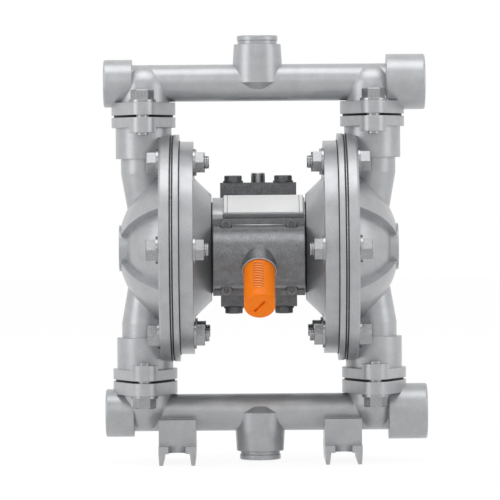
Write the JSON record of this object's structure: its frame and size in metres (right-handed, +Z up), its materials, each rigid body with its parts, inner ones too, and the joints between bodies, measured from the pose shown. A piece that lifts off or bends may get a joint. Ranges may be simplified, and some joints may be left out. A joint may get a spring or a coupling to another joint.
{
  "type": "air operated diaphragm pump",
  "caption": "Double diaphragm pump driven by compressed air, with domed side chambers between a discharge pipe above, a footed suction pipe below and a slanted exhaust silencer.",
  "frame": {"origin": "on the floor, in the plane of the foot soles, 1.5 mm below the middle of the lower centre plug", "axes": "+X along the shaft towards the open ports, +Y away from the silencer side, +Z up"},
  "size_m": [0.2085, 0.1561, 0.2765],
  "materials": {
    "cast_aluminium": "satin cast, clear coated",
    "grey_casting": "dark grey, rough cast, painted",
    "zinc_steel": "zinc plated",
    "bright_steel": "ground",
    "black_rubber": "matt",
    "orange_plastic": "moulded",
    "white_plate": "printed white",
    "fibre_gasket": "pressed fibre",
    "white_plastic": "turned",
    "bronze": "turned",
    "spring_steel": "drawn"
  },
  "bodies": {
    "housing": {"discharge_manifold": "cast_aluminium", "suction_manifold": "cast_aluminium", "left_fluid_cap": "cast_aluminium", "right_fluid_cap": "cast_aluminium", "left_air_chamber": "cast_aluminium", "right_air_chamber": "cast_aluminium", "centre_body": "cast_aluminium", "body_gaskets": "fibre_gasket", "end_screws": "zinc_steel", "name_plate": "white_plate", "cover_gasket": "fibre_gasket", "exhaust_cover": "grey_casting", "cover_screws": "zinc_steel", "silencer": "orange_plastic", "block_gasket": "fibre_gasket", "valve_block": "grey_casting", "block_screws": "zinc_steel", "valve_sleeve": "bright_steel", "valve_top_cap": "grey_casting", "valve_bottom_cap": "grey_casting", "cap_bolts": "zinc_steel", "shaft_bushes": "bronze", "shaft_seals": "black_rubber", "left_diaphragm": "black_rubber", "right_diaphragm": "black_rubber", "chamber_bolts": "zinc_steel", "chamber_nuts": "zinc_steel", "manifold_bolts": "zinc_steel", "flange_gaskets": "black_rubber", "ball_seats": "white_plastic", "centre_plugs": "cast_aluminium", "plug_washers": "cast_aluminium", "end_plugs": "zinc_steel", "button_spring": "spring_steel"},
    "shaft_assembly": {"diaphragm_shaft": "bright_steel", "air_side_plates": "cast_aluminium", "fluid_side_plates": "cast_aluminium", "shaft_nuts": "zinc_steel"},
    "spool": {"valve_spool": "bright_steel", "spool_seals": "black_rubber"},
    "button": {"reset_button": "zinc_steel"},
    "lower_left_ball_body": {"lower_left_ball": "black_rubber"},
    "lower_right_ball_body": {"lower_right_ball": "black_rubber"},
    "upper_left_ball_body": {"upper_left_ball": "black_rubber"},
    "upper_right_ball_body": {"upper_right_ball": "black_rubber"}
  },
  "joints": [
    {"name": "shaft_slide", "type": "slide", "parent": "housing", "child": "shaft_assembly", "axis": [1, 0, 0], "range_m": [-0.006, 0.006], "deforming": ["left_diaphragm", "right_diaphragm"]},
    {"name": "spool_slide", "type": "slide", "parent": "housing", "child": "spool", "axis": [0, 0, 1], "range_m": [0, 0.008]},
    {"name": "button_press", "type": "slide", "parent": "housing", "child": "button", "axis": [0, 0, -1], "range_m": [0, 0.003], "stiffness_N_per_m": 400, "springref_m": -0.002, "deforming": ["button_spring"]},
    {"name": "lower_left_ball_lift", "type": "slide", "parent": "housing", "child": "lower_left_ball_body", "axis": [0, 0, 1], "range_m": [0, 0.004]},
    {"name": "lower_right_ball_lift", "type": "slide", "parent": "housing", "child": "lower_right_ball_body", "axis": [0, 0, 1], "range_m": [0, 0.004]},
    {"name": "upper_left_ball_lift", "type": "slide", "parent": "housing", "child": "upper_left_ball_body", "axis": [0, 0, 1], "range_m": [0, 0.004]},
    {"name": "upper_right_ball_lift", "type": "slide", "parent": "housing", "child": "upper_right_ball_body", "axis": [0, 0, 1], "range_m": [0, 0.004]}
  ]
}
